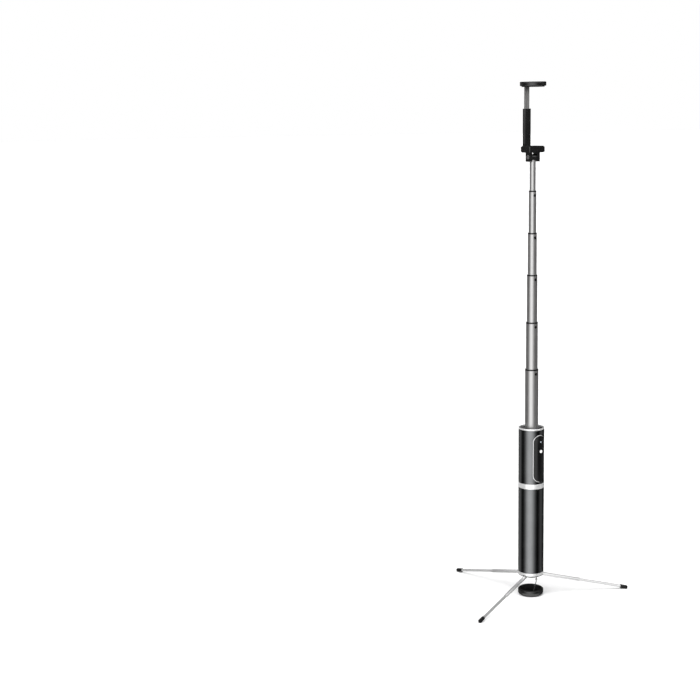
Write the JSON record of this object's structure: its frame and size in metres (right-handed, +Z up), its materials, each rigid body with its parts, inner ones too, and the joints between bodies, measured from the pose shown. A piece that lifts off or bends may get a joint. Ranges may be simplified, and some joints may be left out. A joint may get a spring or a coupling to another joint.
{
  "type": "selfie stick",
  "caption": "Telescopic selfie stick with a round handle, clip-in shutter remote, tilting phone clamp, fold-out tripod legs and a tethered end cap.",
  "frame": {"origin": "on the floor under the pole, at the centre of the cap's flat bottom", "axes": "+Z up along the pole; -Y towards the side with the remote's button"},
  "size_m": [0.2346, 0.1856, 0.6508],
  "materials": {
    "black_sleeve": "black anodised satin",
    "bright_trim": "polished, diamond cut",
    "pole_steel": "satin, drawn lengthwise",
    "leg_steel": "polished",
    "black_plastic": "fine moulded texture",
    "collar_plastic": "smooth",
    "remote_gloss": "semi-gloss",
    "remote_shell": "moulded",
    "white_mark": "gloss",
    "light_pipe": "frosted",
    "board": "solder mask",
    "cell_steel": "satin",
    "contact_brass": "sprung strip",
    "switch_black": "moulded",
    "bush_plastic": "natural nylon",
    "jaw_rubber": "matt ribbed",
    "foot_rubber": "matt",
    "screw_steel": "zinc plated",
    "slider_steel": "satin",
    "cap_plastic": "fine moulded texture",
    "cap_ring": "smooth",
    "cord": "braided",
    "bead_metal": "dark plated"
  },
  "bodies": {
    "handle": {"lower_sleeve": "black_sleeve", "mid_ring": "bright_trim", "upper_sleeve": "black_sleeve", "top_lip": "bright_trim", "bottom_trim": "bright_trim", "remote_housing": "remote_shell", "remote_cover": "remote_gloss", "circuit_board": "board", "coin_cell": "cell_steel", "battery_clip": "contact_brass", "tact_switch": "switch_black", "led_lens": "light_pipe", "tripod_hub": "black_plastic", "hub_pins": "screw_steel", "tether_anchor": "screw_steel", "tether": "cord", "tether_bead": "bead_metal"},
    "shutter": {"shutter_button": "remote_gloss", "button_dot": "white_mark"},
    "pole_1": {"pole_carrier": "black_plastic", "pole_tube_1": "pole_steel", "collar_1": "collar_plastic"},
    "pole_2": {"pole_tube_2": "pole_steel", "collar_2": "collar_plastic", "tail_bush_2": "bush_plastic"},
    "pole_3": {"pole_tube_3": "pole_steel", "collar_3": "collar_plastic", "tail_bush_3": "bush_plastic"},
    "pole_4": {"pole_tube_4": "pole_steel", "collar_4": "collar_plastic", "tail_bush_4": "bush_plastic"},
    "pole_5": {"pole_tube_5": "pole_steel", "collar_5": "collar_plastic", "tail_bush_5": "bush_plastic"},
    "pole_6": {"pole_tube_6": "pole_steel", "tail_bush_6": "bush_plastic", "pole_head": "black_plastic"},
    "clamp": {"lower_jaw": "black_plastic", "lower_pad": "jaw_rubber", "tilt_screw": "screw_steel", "tilt_nut": "screw_steel", "clamp_spine": "black_plastic", "friction_leaf": "slider_steel"},
    "top_jaw": {"clamp_slider": "slider_steel", "upper_jaw": "black_plastic", "upper_pad": "jaw_rubber"},
    "leg_1": {"leg_knuckle_1": "black_plastic", "leg_tube_1": "leg_steel"},
    "leg_end_1": {"leg_rod_1": "leg_steel", "foot_1": "foot_rubber"},
    "leg_2": {"leg_knuckle_2": "black_plastic", "leg_tube_2": "leg_steel"},
    "leg_end_2": {"leg_rod_2": "leg_steel", "foot_2": "foot_rubber"},
    "leg_3": {"leg_knuckle_3": "black_plastic", "leg_tube_3": "leg_steel"},
    "leg_end_3": {"leg_rod_3": "leg_steel", "foot_3": "foot_rubber"},
    "cap": {"cap_shell": "cap_plastic", "cap_plug": "cap_ring"}
  },
  "joints": [
    {"name": "shutter_press", "type": "slide", "parent": "handle", "child": "shutter", "axis": [0, 1, 0], "range_m": [0, 0.0004], "stiffness_N_per_m": 900, "springref_m": -0.0002},
    {"name": "pole_1_slide", "type": "slide", "parent": "handle", "child": "pole_1", "axis": [0, 0, 1], "range_m": [-0.1426, 0]},
    {"name": "pole_2_slide", "type": "slide", "parent": "pole_1", "child": "pole_2", "axis": [0, 0, 1], "range_m": [-0.0592, 0]},
    {"name": "pole_3_slide", "type": "slide", "parent": "pole_2", "child": "pole_3", "axis": [0, 0, 1], "range_m": [-0.0592, 0]},
    {"name": "pole_4_slide", "type": "slide", "parent": "pole_3", "child": "pole_4", "axis": [0, 0, 1], "range_m": [-0.0516, 0]},
    {"name": "pole_5_slide", "type": "slide", "parent": "pole_4", "child": "pole_5", "axis": [0, 0, 1], "range_m": [-0.0516, 0]},
    {"name": "pole_6_slide", "type": "slide", "parent": "pole_5", "child": "pole_6", "axis": [0, 0, 1], "range_m": [-0.0339, 0]},
    {"name": "clamp_tilt", "type": "hinge", "parent": "pole_6", "child": "clamp", "pos_m": [0, 0, 0.56], "axis": [1, 0, 0], "range_deg": [0, 95]},
    {"name": "jaw_slide", "type": "slide", "parent": "clamp", "child": "top_jaw", "axis": [0, 0, 1], "range_m": [-0.025, 0.015]},
    {"name": "leg_1_fold", "type": "hinge", "parent": "handle", "child": "leg_1", "pos_m": [0.00838, -0.00427, 0.0274], "axis": [0.454, 0.891, 0], "range_deg": [0, 48]},
    {"name": "leg_1_extend", "type": "slide", "parent": "leg_1", "child": "leg_end_1", "axis": [0.8711, -0.4439, -0.21], "range_m": [-0.035, 0]},
    {"name": "leg_2_fold", "type": "hinge", "parent": "handle", "child": "leg_2", "pos_m": [-0.00179, 0.00923, 0.0274], "axis": [-0.9816, -0.1908, 0], "range_deg": [0, 48]},
    {"name": "leg_2_extend", "type": "slide", "parent": "leg_2", "child": "leg_end_2", "axis": [-0.1866, 0.9597, -0.21], "range_m": [-0.035, 0]},
    {"name": "leg_3_fold", "type": "hinge", "parent": "handle", "child": "leg_3", "pos_m": [-0.00878, -0.00337, 0.0274], "axis": [0.3584, -0.9336, 0], "range_deg": [0, 48]},
    {"name": "leg_3_extend", "type": "slide", "parent": "leg_3", "child": "leg_end_3", "axis": [-0.9128, -0.3504, -0.21], "range_m": [-0.035, 0]},
    {"name": "cap_lift", "type": "slide", "parent": "handle", "child": "cap", "axis": [0, 0, -1], "range_m": [-0.012, 0], "deforming": ["tether"]}
  ]
}
